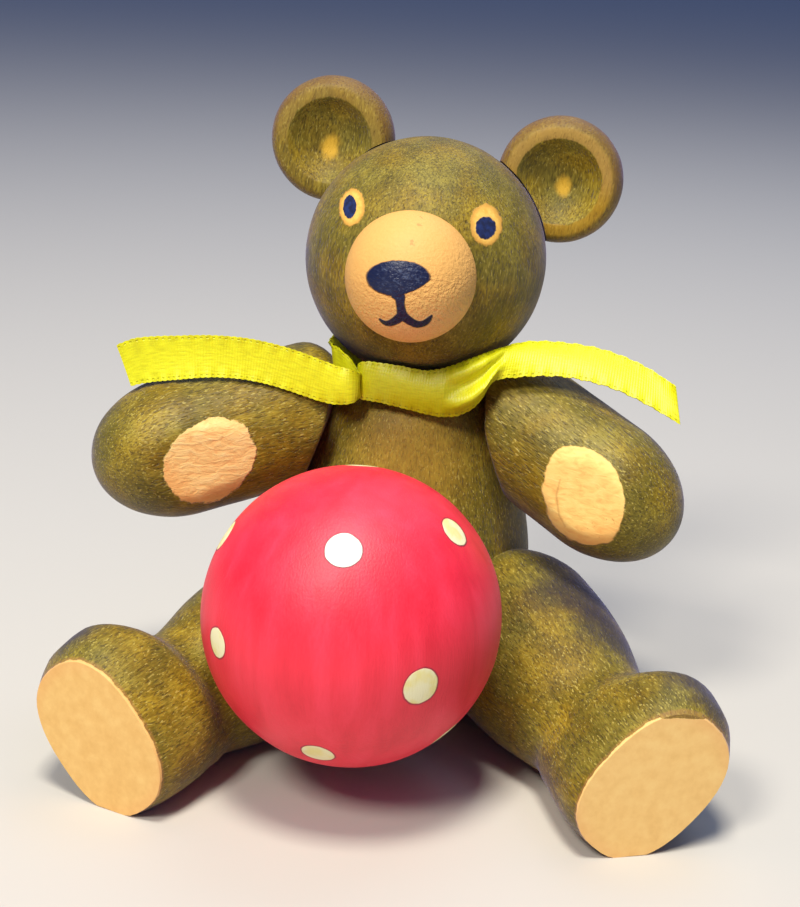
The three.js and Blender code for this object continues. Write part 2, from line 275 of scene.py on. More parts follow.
# %% Handing a piece over
def done(piece, node, sharp=40):
    """Smooths the shading and lets the piece stand for its node of the frame."""
    pick(piece)
    bpy.ops.object.shade_smooth_by_angle(angle=radians(sharp))
    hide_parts(node)
    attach(piece, "root")
    print(piece.name, len(piece.data.polygons), "faces")


# %% [markdown]
# ## The head
# The head is a turned ball, leaning a little and turned a little to one side, because it was glued on by hand. All
# that sits on the head is placed in the head's own frame, so one matrix leans the muzzle, the ears and the paint too.
# %% The head
HEAD_RADIUS = 8.74
HEAD_CENTRE = (0.1, 0, 32.95)
HEAD_TILT = Euler((radians(-1.5), radians(6), radians(-4)))
GLUE = 0.1  # the thickness of a glue joint

head_frame = Matrix.Translation(mm(*HEAD_CENTRE)) @ HEAD_TILT.to_matrix().to_4x4()
head_ball = turned_ball("head_ball", HEAD_RADIUS, steps=80)
place(head_ball, head_frame)
uneven(head_ball, size=5, depth=0.08)
done(head_ball, "head")

# %% [markdown]
# ## The muzzle
# The muzzle is a smaller ball with a hollow that fits the head, so only its front half stands out.
# %% The muzzle
MUZZLE_RADIUS = 4.57
MUZZLE_OUT = 7.3  # from the head's centre to the muzzle's

muzzle_ball = turned_ball("muzzle_ball", MUZZLE_RADIUS, steps=56)
place(muzzle_ball, head_frame @ Matrix.Translation(mm(0, -MUZZLE_OUT, 0)))
seat(muzzle_ball, mm(*HEAD_CENTRE), HEAD_RADIUS + GLUE)
uneven(muzzle_ball, size=3, depth=0.06)
done(muzzle_ball, "muzzle")

# %% [markdown]
# ## The ears
# An ear is a little turned dish: a bowl with a crisp edge, a narrow front band, and a thick round rim that runs
# into a domed back. The outline starts in the middle of the bowl and ends in the middle of the back.
# %% An ear's outline
EAR_RADIUS = 4.56
EAR_HALF_THICKNESS = 1.6
EAR_PLACE = (8.44, 2.5, 7.0)
BOWL_RADIUS, BOWL_DEPTH = 3.05, 1.45
BOWL_STEPS = 14
BAND_RADIUS = 3.7


def ear_outline():
    """From the middle of the bowl over its lip, the flat band and the round rim to the middle of the back."""
    ball = (BOWL_RADIUS ** 2 + BOWL_DEPTH ** 2) / (2 * BOWL_DEPTH)
    front = -EAR_HALF_THICKNESS
    bowl = [
        (r, front + BOWL_DEPTH - ball + sqrt(ball ** 2 - r ** 2))
        for r in (BOWL_RADIUS * i / BOWL_STEPS for i in range(BOWL_STEPS + 1))
    ]
    band = [(BOWL_RADIUS + 0.08, front - 0.03), (BAND_RADIUS - 0.2, front - 0.02)]
    rim = arc((BAND_RADIUS, 0), (EAR_RADIUS - BAND_RADIUS, EAR_HALF_THICKNESS), -90, 60, 18)
    back = arc((0, 0.6), (rim[-1][0], 1.15), 41, 90, 10)[1:]
    return [*bowl, *band, *rim, *back]


# %% The ears
EARS = {"left_ear": 1, "right_ear": -1}

for name, side in EARS.items():
    dish = turned(name + "_dish", ear_outline(), sides=112)
    at = Matrix.Translation(mm(*mirrored(EAR_PLACE, side)))
    place(dish, head_frame @ at @ Matrix.Rotation(-pi / 2, 4, "X"))
    seat(dish, mm(*HEAD_CENTRE), HEAD_RADIUS + GLUE)
    uneven(dish, size=2.5, depth=0.05)
    done(dish, name, sharp=35)

# %% [markdown]
# ## The body
# The body is turned like a pear, with a flat seat below and narrow at the neck.
# %% The body
BODY_X = -0.15  # the head is glued a little to one side of the body
BODY_PROFILE = [
    # radius and height, from the seat to the neck
    (6.3, 0), (8, 2), (9.1, 6.5), (9.3, 11), (8.6, 15), (7.7, 18), (6.9, 20.9), (6.1, 22.7), (5, 23.7), (3.8, 24.3),
]
BODY_TOP = BODY_PROFILE[-1][1]
SPARE_RADIUS, SPARE_LENGTH = 5.9, -0.3  # the blank runs on below the seat, until the flat is cut

profile = [(p.x, p.y) for p in curve_through([(r, z, 0) for r, z in BODY_PROFILE], 72)]
blank = [(0, SPARE_LENGTH), (SPARE_RADIUS, SPARE_LENGTH), *profile, (0, BODY_TOP)]
body_pear = turned("body_pear", blank, sides=144)
place(body_pear, Matrix.Translation(mm(BODY_X, 0, 0)))
seat(body_pear, mm(*HEAD_CENTRE), HEAD_RADIUS + GLUE)
uneven(body_pear, size=6, depth=0.1)
flat(body_pear, through=(0, 0, 0), facing=(0, 0, -1))
done(body_pear, "body")

# %% [markdown]
# ## The arms
# Each arm is a turned rod with a softened shoulder and a round paw. It is turned upright, a small flat is pressed on
# the paw for the palm, and then it is laid along its own line from the shoulder. Its inner side is pressed flat
# where it is glued to the body: upright beside the shoulder, and further down leaning out with the body's slope.
# %% An arm's outline and its own frame
ARM_LENGTH = 19
SHOULDER_ROUND = 2.2
PAW_ROUND = 6.6  # the length of the paw's rounded end
PALM_CUT = 0.6  # how deep the palm's flat is


def arm_outline(radius):
    """Up the middle of the shoulder's end, round its edge, along the rod and over the paw."""
    shoulder = arc((radius - SHOULDER_ROUND, SHOULDER_ROUND), (SHOULDER_ROUND, SHOULDER_ROUND), -90, 0, 8)
    rod = [(radius, SHOULDER_ROUND + (ARM_LENGTH - PAW_ROUND - SHOULDER_ROUND) * i / 36) for i in range(1, 36)]
    paw = arc((0, ARM_LENGTH - PAW_ROUND), (radius, PAW_ROUND), 0, 90, 40)
    return [(0, 0), *shoulder, *rod, *paw]


def arm_frame(shoulder, direction):
    """Z along the arm, -Y to the front, X upwards across it."""
    along = Vector(direction).normalized()
    front = (Vector((0, -1, 0)) + along * along.y).normalized()
    up = along.cross(front)
    return Matrix.Translation(mm(*shoulder)) @ Matrix((up, -front, along)).transposed().to_4x4()


# %% The arms
INNER_LEAN = radians(19.5)
LEANS_BELOW = 22  # the height at which the inner flat starts to lean
INNER_SOFT = 0.12
ARMS = {
    # inner is the inner flat's place beside the body's middle, and the palm's turn and tilt give its facing
    "right_arm": {
        "side": -1, "radius": 5.07, "shoulder": (-5.6, -0.9, 21.85), "direction": (-0.864, -0.467, -0.189),
        "inner": -5.75, "palm_turn": radians(-4.8), "palm_tilt": radians(5.4),
    },
    "left_arm": {
        "side": 1, "radius": 4.9, "shoulder": (4.5, 0.75, 22.9), "direction": (0.752, -0.567, -0.336),
        "inner": 5.4, "palm_turn": radians(1.5), "palm_tilt": radians(11.5),
    },
}
for name, arm in ARMS.items():
    rod = turned(name + "_rod", arm_outline(arm["radius"]), sides=144)
    uneven(rod, size=4, depth=0.08)
    turn, tilt = arm["palm_turn"], arm["palm_tilt"]
    outwards = Vector((sin(turn) * cos(tilt), -cos(turn) * cos(tilt), sin(tilt)))
    furthest = (ARM_LENGTH - PAW_ROUND) * sin(tilt) + hypot(arm["radius"] * cos(tilt), PAW_ROUND * sin(tilt))
    pressed(rod, outwards * (furthest - PALM_CUT) * MM, outwards)
    place(rod, arm_frame(arm["shoulder"], arm["direction"]))
    beside_body = mm(BODY_X + arm["inner"], 0, LEANS_BELOW)
    for lean in (0, INNER_LEAN):
        pressed(rod, beside_body, Vector((-arm["side"] * cos(lean), 0, -sin(lean))), INNER_SOFT)
    done(rod, name)

# %% [markdown]
# ## The legs
# A leg isn't round: the thigh thins to an ankle, and the foot is taller than it is wide, with its toes leaning
# outwards and a flat sole. So it is built from a disc at the hip that is extruded ring by ring, and each new ring
# takes the shape and the place of its section across the leg's own bent line.
# %% The legs' sections
LEG_SECTIONS = [
    # along, offset towards the toes, half height and squareness
    (0.00, 0.0, 4.2, 2), (0.06, 0.0, 5.6, 2), (0.16, 0.0, 6.4, 2), (0.30, 0.1, 6.4, 2),
    (0.46, 0.3, 5.9, 2), (0.58, 0.5, 5.1, 2), (0.66, 0.8, 4.8, 2), (0.71, 1.1, 5.2, 2.1),
    (0.76, 1.65, 5.75, 2.2), (0.84, 2.1, 6.3, 2.3), (0.93, 2.0, 6.1, 2.4), (1.00, 1.7, 5.45, 2.4),
]
THIGH_WIDTHS = (4.2, 5.6, 6.3, 6.2, 5.5, 4.7)  # half widths of the first six sections, and the feet have their own
LEGS = {
    "left_leg": {
        "side": 1, "hip": (7, -2.2, 7.2), "sole": (18, -24.7, 4.9), "turn": radians(18), "lean": radians(43),
        "foot_widths": (3.95, 3.95, 4.15, 4.35, 4.35, 3.95),
    },
    "right_leg": {
        "side": -1, "hip": (5.6, -2, 6.2), "sole": (18, -24.7, 4.9), "turn": radians(23), "lean": radians(42),
        "foot_widths": (3.8, 3.85, 4.4, 4.5, 4.4, 3.95),
    },
}
THIGH_SHARE = 0.3  # the bent line leaves the hip straight towards the sole for this share of the way
FOOT_STRAIGHT = 8  # and comes in square to the sole over this length
RING = 48


# %% A leg's rings
def rounded(value, power):
    """A cosine or sine of a circle, pushed outwards for a squarer ring."""
    return abs(value) ** (2 / power) * (1 if value >= 0 else -1)


def leg_rings(leg, steps=44):
    """The rings of a leg from the hip to the sole, in metres, as for the bear's left leg."""
    turn, lean = leg["turn"], leg["lean"]
    out = Vector((sin(turn), -cos(turn), 0))
    toes = Vector((cos(turn) * sin(lean), sin(turn) * sin(lean), cos(lean)))
    hip = Vector(leg["hip"])
    sole = Vector(leg["sole"]) - toes * LEG_SECTIONS[-1][1]
    line = [hip, hip.lerp(sole, THIGH_SHARE), sole - out * FOOT_STRAIGHT, sole]
    widths = (*THIGH_WIDTHS, *leg["foot_widths"])
    forms = curve_through([(s[1], s[2], wide) for s, wide in zip(LEG_SECTIONS, widths)], steps)
    places = curve_through([(s[0], s[3], 0) for s in LEG_SECTIONS], steps)
    rings = []
    for (offset, high, wide), (t, power, _) in zip(forms, places):
        s = 1 - t
        at = line[0] * s ** 3 + line[1] * 3 * s * s * t + line[2] * 3 * s * t * t + line[3] * t ** 3
        way = (line[1] - line[0]) * s * s + (line[2] - line[1]) * 2 * s * t + (line[3] - line[2]) * t * t
        way.normalize()
        up = (toes - way * toes.dot(way)).normalized()
        across = up.cross(way)
        ring = []
        for k in range(RING):
            c, d = rounded(cos(tau * k / RING), power), rounded(sin(tau * k / RING), power)
            ring.append((at + up * (offset + high * c) + across * (wide * d)) * MM)
        rings.append(ring)
    return rings


# %% The legs
for name, leg in LEGS.items():
    rings = leg_rings(leg)
    fresh_start()
    bpy.ops.mesh.primitive_circle_add(vertices=RING, radius=MM, fill_type="NGON")
    limb = bpy.context.object
    limb.name = limb.data.name = name + "_limb"
    bpy.ops.object.mode_set(mode="EDIT")
    bpy.ops.mesh.select_all(action="SELECT")
    for _ in rings[1:]:
        bpy.ops.mesh.extrude_region_move(TRANSFORM_OT_translate={"value": (0, 0, MM)})
    bpy.ops.object.mode_set(mode="OBJECT")
    for vertex in limb.data.vertices:
        j = round(vertex.co.z / MM)
        k = round((vertex.co.xy.angle_signed(Vector((0, 1)))) / tau * RING) % RING
        vertex.co = mirrored(rings[j][k], leg["side"])
    facing_out(limb)
    uneven(limb, size=5, depth=0.1)
    flat(limb, through=(0, 0, 0), facing=(0, 0, -1), soften=0.05)
    done(limb, name)

# %% [markdown]
# ## The ball
# The ball is a plain turned ball, held between the belly and the thighs.
# %% The ball
BALL_RADIUS = 9.9
BALL_CENTRE = (-2.3, -19.4, 12.8)

lap_ball = turned_ball("lap_ball", BALL_RADIUS, steps=88)
place(lap_ball, Matrix.Translation(mm(*BALL_CENTRE)))
uneven(lap_ball, size=6, depth=0.08)
done(lap_ball, "ball")

# %% [markdown]
# ## The ribbon
# Satin ribbon is a flat strip that bends and twists but hardly stretches, so it is a long grid whose rows follow a
# path. Its two edges are two curves, read off the photograph, and each row runs from the lower edge to the upper one
# and bulges a little between them. The strip comes in over the bear's right arm, folds back at the throat and goes
# round behind the neck. It comes to the throat again from the other side, folds back behind its first fold and
# leaves over the left arm. Beside the left shoulder it is pinched into a ridge with a hollow below.
# %% The ribbon's two edges
RIBBON_WIDTH = 3
NECK_LOOP = {"radius": 5.75, "height": 25.2, "flare": 0.62, "from": 280, "to": 50, "places": 8}
RIGHT_TAIL = [
    # the lower edge, the upper edge, and how far the middle bulges
    ((-19.78, -8.00, 24.06), (-20.85, -7.80, 26.86), -0.05), ((-18.64, -7.95, 24.38), (-19.66, -7.60, 27.38), -0.10),
    ((-16.28, -7.95, 24.78), (-16.66, -7.30, 27.71), -0.12), ((-14.05, -7.70, 25.04), (-14.14, -7.10, 27.87), -0.12),
    ((-11.74, -7.45, 24.97), (-11.61, -6.90, 27.77), -0.10), ((-9.61, -7.30, 24.60), (-9.20, -6.80, 27.35), -0.05),
    ((-7.62, -7.15, 24.03), (-7.27, -6.75, 26.81), 0.00), ((-6.04, -7.05, 23.60), (-5.76, -6.75, 26.33), 0.10),
    ((-4.96, -7.10, 23.54), (-4.89, -6.75, 26.10), 0.20), ((-4.25, -7.15, 23.68), (-4.33, -6.70, 25.99), 0.20),
    ((-3.82, -6.95, 23.85), (-3.92, -6.50, 25.82), 0.10), ((-3.65, -6.60, 23.99), (-3.79, -6.25, 25.62), 0.00),
    ((-3.72, -6.28, 24.00), (-3.86, -5.95, 25.70), 0.00), ((-4.15, -6.10, 24.05), (-4.30, -5.75, 26.30), 0.00),
    ((-5.00, -5.40, 24.40), (-5.30, -5.20, 27.00), 0.00), ((-5.65, -4.50, 24.30), (-6.00, -4.40, 27.10), 0.00),
    ((-5.45, -3.10, 24.00), (-6.15, -3.10, 26.90), 0.00),
]
LEFT_TAIL = [
    ((2.02, -5.30, 23.56), (1.91, -5.60, 25.78), 0.00), ((-0.80, -5.85, 23.50), (-0.90, -6.00, 25.68), 0.00),
    ((-2.60, -5.80, 23.70), (-2.60, -5.50, 25.70), 0.00), ((-3.55, -5.60, 23.90), (-3.50, -5.10, 25.80), 0.00),
    ((-4.00, -5.78, 24.00), (-4.00, -5.30, 26.00), 0.00), ((-3.73, -6.05, 23.80), (-3.58, -5.55, 26.32), 0.10),
    ((-2.49, -6.35, 23.74), (-2.07, -6.05, 26.42), 0.30), ((-0.95, -6.65, 23.57), (-0.55, -6.40, 26.38), 0.40),
    ((0.64, -6.80, 23.33), (0.81, -6.45, 26.22), 0.50), ((1.93, -6.80, 23.13), (2.00, -6.40, 26.41), 0.60),
    ((3.20, -6.75, 23.22), (3.03, -6.30, 26.78), 0.70), ((4.16, -6.65, 23.67), (3.91, -6.10, 27.14), 0.75),
    ((4.88, -6.50, 24.38), (4.66, -5.80, 27.43), 0.75), ((5.35, -6.30, 25.27), (5.33, -5.30, 27.62), 0.70),
    ((5.83, -6.10, 25.84), (6.22, -4.60, 27.83), 0.60), ((7.01, -5.95, 26.08), (7.39, -4.00, 28.11), 0.45),
    ((8.83, -5.85, 26.31), (9.08, -3.65, 28.24), 0.30), ((10.72, -5.85, 26.38), (10.94, -3.50, 28.18), 0.22),
    ((12.49, -6.00, 26.20), (12.80, -3.65, 28.03), 0.18), ((14.26, -6.25, 25.85), (14.52, -3.90, 27.67), 0.14),
    ((16.05, -6.60, 25.24), (16.18, -4.40, 27.17), 0.10), ((17.62, -6.95, 24.55), (17.53, -5.10, 26.63), 0.08),
    ((18.95, -7.30, 23.92), (18.45, -6.30, 26.36), 0.05),
]


# %% Round the neck
def neck_loop():
    """Both edges behind the neck, where the strip leans outwards to clear the head."""
    radius, flare, start = NECK_LOOP["radius"], NECK_LOOP["flare"], NECK_LOOP["from"]
    places = []
    for i in range(NECK_LOOP["places"]):
        share = i / (NECK_LOOP["places"] - 1)
        a = radians(start + (NECK_LOOP["to"] - start) * share)
        lean = Vector((flare * sin(a), -flare * cos(a), 1)).normalized() * RIBBON_WIDTH / 2
        at = Vector((BODY_X + radius * sin(a), -radius * cos(a), NECK_LOOP["height"]))
        places.append((at - lean, at + lean, 0))
    return places


route = [*RIGHT_TAIL, *neck_loop(), *LEFT_TAIL]
FINE = 4000
lower_edge = curve_through([low for low, _, _ in route], FINE)
upper_edge = curve_through([high for _, high, _ in route], FINE)
bulges = curve_through([(bulge, i, 0) for i, (_, _, bulge) in enumerate(route)], FINE)
run = [0]
for i in range(FINE):
    run.append(run[-1] + ((lower_edge[i + 1] + upper_edge[i + 1] - lower_edge[i] - upper_edge[i]) / 2).length)
ribbon_length = run[-1]
print("ribbon laid flat: 3 mm by", round(ribbon_length, 1), "mm")

# %% A row of the ribbon
HOLLOW_PLACE, HOLLOW_HALF_WIDTH, HOLLOW_DEPTH = 4.3, 2.0, 0.5  # where it is along X, and its size
PAST_THE_NECK = 0.6  # the share of the ribbon's length after which only the front layer is left
FRONT_OF_THROAT = -5.9  # the front layer lies further forward than this


def ribbon_row(distance):
    """The two edges, the bulge, the hollow and the way outwards at a distance along the ribbon."""
    j = min(bisect_left(run, distance), FINE)
    i, k = max(j - 12, 0), min(j + 12, FINE)
    way = lower_edge[k] + upper_edge[k] - lower_edge[i] - upper_edge[i]
    off = (lower_edge[j].x - HOLLOW_PLACE) / HOLLOW_HALF_WIDTH
    front = j > FINE * PAST_THE_NECK and lower_edge[j].y < FRONT_OF_THROAT
    hollow = HOLLOW_DEPTH * max(0, 1 - off * off) if front else 0
    return lower_edge[j], upper_edge[j], bulges[j].x, hollow, way.cross(upper_edge[j] - lower_edge[j]).normalized()


# %% [markdown]
# ## Laying the ribbon
# Fine loops of thread stand along both edges, the picot, and the cloth puckers beside them. Both are waves in the
# distance along the ribbon, and they fade out towards its middle. Solidify then gives the cloth its thickness.
# %% Laying the ribbon
ROWS = 1800
COLUMNS = 16
PICOT_PITCH, PICOT_DEPTH = 0.42, 0.05
PUCKER_PITCH, PUCKER_DEPTH = 1.15, 0.06
PUCKER_LAG = 0.8  # the upper edge's puckers come a little later than the lower edge's
CLOTH_THICKNESS = 0.1

rows = [ribbon_row(ribbon_length * i / ROWS) for i in range(ROWS + 1)]
fresh_start()
bpy.ops.mesh.primitive_grid_add(x_subdivisions=ROWS, y_subdivisions=COLUMNS, size=2, calc_uvs=True)
strip = bpy.context.object
strip.name = strip.data.name = "satin_ribbon_strip"
for vertex in strip.data.vertices:
    i = round((vertex.co.x + 1) / 2 * ROWS)
    low, high, bulge, hollow, outwards = rows[i]
    share = vertex.co.y
    distance = ribbon_length * i / ROWS
    if abs(share) > 0.99:
        share += share * 2 * PICOT_DEPTH / RIBBON_WIDTH * abs(sin(pi * distance / PICOT_PITCH))
    lag = PUCKER_LAG if share > 0 else 0
    pucker = PUCKER_DEPTH * sin(tau * distance / PUCKER_PITCH + lag) * abs(share) ** 3
    wave = hollow * cos(1.5 * pi * (share - 0.1)) * (1 - share ** 4)
    at = low.lerp(high, (share + 1) / 2) + outwards * (bulge * (1 - share * share) + pucker - wave)
    vertex.co = at * MM
pick(strip)
bpy.ops.object.modifier_add(type="SOLIDIFY")
strip.modifiers[-1].thickness = CLOTH_THICKNESS * MM
strip.modifiers[-1].offset = 0
bpy.ops.object.modifier_apply(modifier=strip.modifiers[-1].name)
done(strip, "neck_ribbon", sharp=60)

# %% [markdown]
# ## Arithmetic with shader sockets
# A finish is a sum of patterns, and sums read best as Python expressions. This class wraps a socket, and every
# operator on it adds a Math node. One method makes any other node.
# %% Sockets that do arithmetic
class Wire:
    """A socket that is reckoned with as a number is."""

    def __init__(self, finish, socket):
        self.finish, self.socket = finish, socket

    def _math(self, operation, *values):
        return self.finish.node("ShaderNodeMath", {"operation": operation}, dict(enumerate(values)))

    def __add__(self, other):
        return self._math("ADD", self, other)

    def __sub__(self, other):
        return self._math("SUBTRACT", self, other)

    def __mul__(self, other):
        return self._math("MULTIPLY", self, other)

    def __truediv__(self, other):
        return self._math("DIVIDE", self, other)

    def __pow__(self, other):
        return self._math("POWER", self, other)

    def __rsub__(self, other):
        return self._math("SUBTRACT", other, self)

    __radd__ = __add__
    __rmul__ = __mul__

    def minimum(self, other):
        return self._math("MINIMUM", self, other)

    def maximum(self, other):
        return self._math("MAXIMUM", self, other)

    def root(self):
        return self._math("SQRT", self)

    def wave(self):
        return self._math("SINE", self)

    def clamped(self):
        return self.maximum(0.0).minimum(1.0)


# %% A finish and its nodes
class Finish:
    """A material whose nodes are added one by one, and read as values."""

    def __init__(self, name, **constants):
        self.material = bpy.data.materials.new(name)
        self.material.use_nodes = True
        self.tree = self.material.node_tree
        self.shader = self.tree.nodes["Principled BSDF"]
        for socket, value in constants.items():
            self.shader.inputs[socket.replace("_", " ")].default_value = value

    def node(self, kind, settings=None, inputs=None, output=0):
        """Adds a node, makes its settings, fills its inputs and returns one of its outputs."""
        made = self.tree.nodes.new(kind)
        for name, value in (settings or {}).items():
            setattr(made, name, value)
        for key, value in (inputs or {}).items():
            if isinstance(value, Wire):
                self.tree.links.new(value.socket, made.inputs[key])
            else:
                made.inputs[key].default_value = value
        return Wire(self, made.outputs[output])

    def feed(self, socket, value):
        """Lets a value drive one of the shader's own sockets."""
        self.tree.links.new(value.socket, self.shader.inputs[socket])

    def places(self, location=(0, 0, 0), rotation=(0, 0, 0)):
        """Object coordinates in millimetres, in a frame of its own."""
        raw = self.node("ShaderNodeTexCoord", output="Object")
        return self.node(
            "ShaderNodeMapping",
            {"vector_type": "TEXTURE"},
            {"Vector": raw, "Location": Vector(location) * MM, "Rotation": rotation, "Scale": (MM, MM, MM)},
        )

    def vectors(self, operation, *values, output=0):
        return self.node("ShaderNodeVectorMath", {"operation": operation}, dict(enumerate(values)), output)

    def stretched(self, at, scale):
        return self.vectors("MULTIPLY", at, scale)

    def shifted(self, at, by):
        return self.vectors("SUBTRACT", at, by)

    def along(self, at, direction):
        return self.vectors("DOT_PRODUCT", at, direction, output="Value")

    def length(self, at):
        return self.vectors("LENGTH", at, output="Value")

    def distance(self, at, other):
        return self.vectors("DISTANCE", at, other, output="Value")

    def noise(self, at, scale, detail=3.0, roughness=0.55, distortion=0.0):
        return self.node(
            "ShaderNodeTexNoise",
            {},
            {"Vector": at, "Scale": scale, "Detail": detail, "Roughness": roughness, "Distortion": distortion},
        )

    def ease(self, value, low, high):
        """0 below low and 1 above high, with a soft step between them."""
        return self.node(
            "ShaderNodeMapRange",
            {"interpolation_type": "SMOOTHSTEP"},
            {"Value": value, "From Min": low, "From Max": high},
        )

    def ramp(self, value, stops):
        made = self.node("ShaderNodeValToRGB", {}, {"Fac": value})
        elements = made.socket.node.color_ramp.elements
        while len(elements) < len(stops):
            elements.new(0.5)
        for element, (position, color) in zip(elements, stops):
            element.position = position
            element.color = (*color, 1)
        return made

    def mix(self, share, a, b):
        colors = {6: a if isinstance(a, Wire) else (*a, 1), 7: b if isinstance(b, Wire) else (*b, 1)}
        return self.node("ShaderNodeMix", {"data_type": "RGBA"}, {0: share, **colors}, 2)

    def relief(self, height, depth):
        """Raises the surface where height is 1, by depth in millimetres."""
        bump = self.node("ShaderNodeBump", {}, {"Height": height, "Distance": depth * MM, "Strength": 1.0}, "Normal")
        self.feed("Normal", bump)

    def give_to(self, piece):
        piece.data.materials.clear()
        piece.data.materials.append(self.material)
        print(self.material.name, len(self.tree.nodes), "nodes")


# %% Colours
def linear(red, green, blue):
    """A colour as seen on a screen, 0 to 255, as light."""
    return tuple(
        (c / 255 / 12.92) if c <= 10 else (((c / 255) + 0.055) / 1.055) ** 2.4 for c in (red, green, blue)
    )


def tones(*stops):
    """A ramp's stops, each from its position between 0 and 1 and its colour on a screen."""
    return [(position, linear(*color)) for position, *color in stops]


# %% [markdown]
# ## Paint by hand
# Eyes, nose, mouth, palms, soles and dots are paint. Each is a mask worked out from the distance to a spot or to a
# brush stroke, in millimetres, with a little noise on its edge for the hand that painted it.
# %% Spots
BEHIND = 2.5  # a spot's paint stops this far behind its middle, and so doesn't show at the back of the piece


def spot(f, at, centre, across, up, half_width, half_height, ragged, soft=0.06):
    """1 inside an oval on the surface, seen along its own facing."""
    across, up = Vector(across).normalized(), Vector(up).normalized()
    near = f.shifted(at, centre)
    u = f.along(near, across) / half_width
    v = f.along(near, up) / half_height
    facing = f.along(near, up.cross(across))
    edge = (u * u + v * v).root() + (f.noise(at, 2.6, 3) - 0.5) * (ragged * 2)
    inside = 1 - f.ease(edge, 1 - soft, 1 + soft)
    return inside * f.ease(facing * -1, -BEHIND, 0.1 - BEHIND)


# %% Brush strokes
def stroke(f, u, v, points, soft=0.05):
    """1 along brush strokes through points of (u, v, half width)."""
    nearest = None
    for (u0, v0, w0), (u1, v1, w1) in zip(points, points[1:]):
        du, dv = u1 - u0, v1 - v0
        share = (((u - u0) * du + (v - v0) * dv) / (du * du + dv * dv)).clamped()
        a = u - u0 - share * du
        b = v - v0 - share * dv
        gap = (a * a + b * b).root() - w0 - share * (w1 - w0)
        nearest = gap if nearest is None else nearest.minimum(gap)
    return 1 - f.ease(nearest, -soft, soft)


# %% [markdown]
# ## Stained wood
# The olive stain is thin, so the fibres show: short fine threads along the grain, a little darker where the pores
# drank the stain, and pale specks where sanding took it off again. Across the whole piece the stain drifts between
# olive and ochre. The grain runs along each turned piece, so the pattern is stretched along that piece's own axis:
# on the sides it gives threads, and on the rounded ends it gives dots, as end grain does.
# %% The stain's colours
OLIVE = tones((0.2, 88, 78, 16), (0.5, 115, 101, 30), (0.8, 144, 128, 46))
OCHRE = tones((0.2, 100, 80, 10), (0.5, 132, 107, 18), (0.8, 166, 140, 36))
PALE_FLECK = linear(206, 186, 96)
DARK_PORE = linear(60, 48, 24)
# painted shade: a violet dark for where shade falls on the legs
PAINTED_SHADE_PURPLE = linear(58, 52, 60)
STAIN_GLOSS = {
    "Specular_IOR_Level": 0.3, "Sheen_Weight": 0.22, "Sheen_Roughness": 0.35, "Sheen_Tint": (0.4, 0.4, 1, 1),
}
STAIN_ROUGHNESS = 0.58
STAIN_DEPTH = 0.05

# %% The stain's patterns
# how fine each pattern is, per millimetre across the grain and along it
FIBRE, THREAD, BAND = (5.5, 5.5, 1.3), (8.5, 8.5, 2.2), (1.2, 1.2, 0.14)
PORE, FLECK = (7.5, 7.5, 1.6), (7.5, 7.5, 2.6)
CLOUD, DRIFT = 0.3, 0.28
SEEDS = {
    # each piece takes its own part of the patterns
    "body": 3, "right_ear": 4, "left_ear": 6, "head": 11, "right_arm": 17, "left_arm": 21, "left_leg": 29,
    "right_leg": 33,
}


def around(f, world, middle, inner, outer, ragged=None):
    """1 within an inner radius of a place on the bear, and 0 beyond an outer one."""
    gap = f.distance(world, middle)
    if ragged is not None:
        gap = gap + ragged
    return 1 - f.ease(gap, inner, outer)


def stained(name, seed, centre, rotation=(0, 0, 0), warm=(), purple=(), flecked=0.5):
    """Returns the finish, its own places, its colour and its height. The grain runs along Z. Warm and purple list
    places on the bear, with a radius each, where the colour is more ochre or darker. The purple darkening is painted
    shade, and on the chest the ochre is partly painted light."""
    f = Finish(name, **STAIN_GLOSS)
    at = f.places(centre, rotation)
    world = f.places()
    moved = f.shifted(at, (seed, seed * 2, seed * 3))
    fibre = f.noise(f.stretched(moved, FIBRE), 1.0, 2, 0.6)
    thread = f.noise(f.stretched(moved, THREAD), 1.0, 1, 0.5)
    band = f.noise(f.stretched(moved, BAND), 1.0, 2, 0.5, 0.5)
    cloud = f.noise(moved, CLOUD, 3, 0.6)
    tone = (fibre - 0.5) * 0.75 + (thread - 0.5) * 0.7 + (band - 0.5) * 0.45 + (cloud - 0.5) * 1.0 + 0.5
    drift = f.ease(f.noise(f.shifted(moved, (7, 3, 5)), DRIFT, 2), 0.35, 0.7)
    for middle, radius in warm:
        drift = drift.maximum(around(f, world, middle, radius * 0.2, radius))
    color = f.mix(drift, f.ramp(tone, OLIVE), f.ramp(tone, OCHRE))
    pores = f.ease(f.noise(f.stretched(f.shifted(moved, (3, 8, 1)), PORE), 1.0, 1), 0.58, 0.68)
    flecks = f.ease(f.noise(f.stretched(f.shifted(moved, (9, 1, 4)), FLECK), 1.0, 1), 0.63, 0.7)
    color = f.mix(pores * 0.5, color, DARK_PORE)
    color = f.mix(flecks * flecked, color, PALE_FLECK)
    # painted shade, a violet dark at each purple place
    for middle, radius in purple:
        share = around(f, world, middle, radius * 0.2, radius, ragged=(cloud - 0.5) * 4)
        color = f.mix(share * 0.7, color, PAINTED_SHADE_PURPLE)
    return f, at, color, fibre * 0.5 + thread * 0.5 - pores * 0.4


def finish_stain(f, color, height, piece):
    """Feeds a stain's colour and height to its shader, and gives it to its piece."""
    f.feed("Base Color", color)
    f.feed("Roughness", (height - 0.5) * 0.3 + STAIN_ROUGHNESS)
    f.relief(height, STAIN_DEPTH)
    f.give_to(piece)


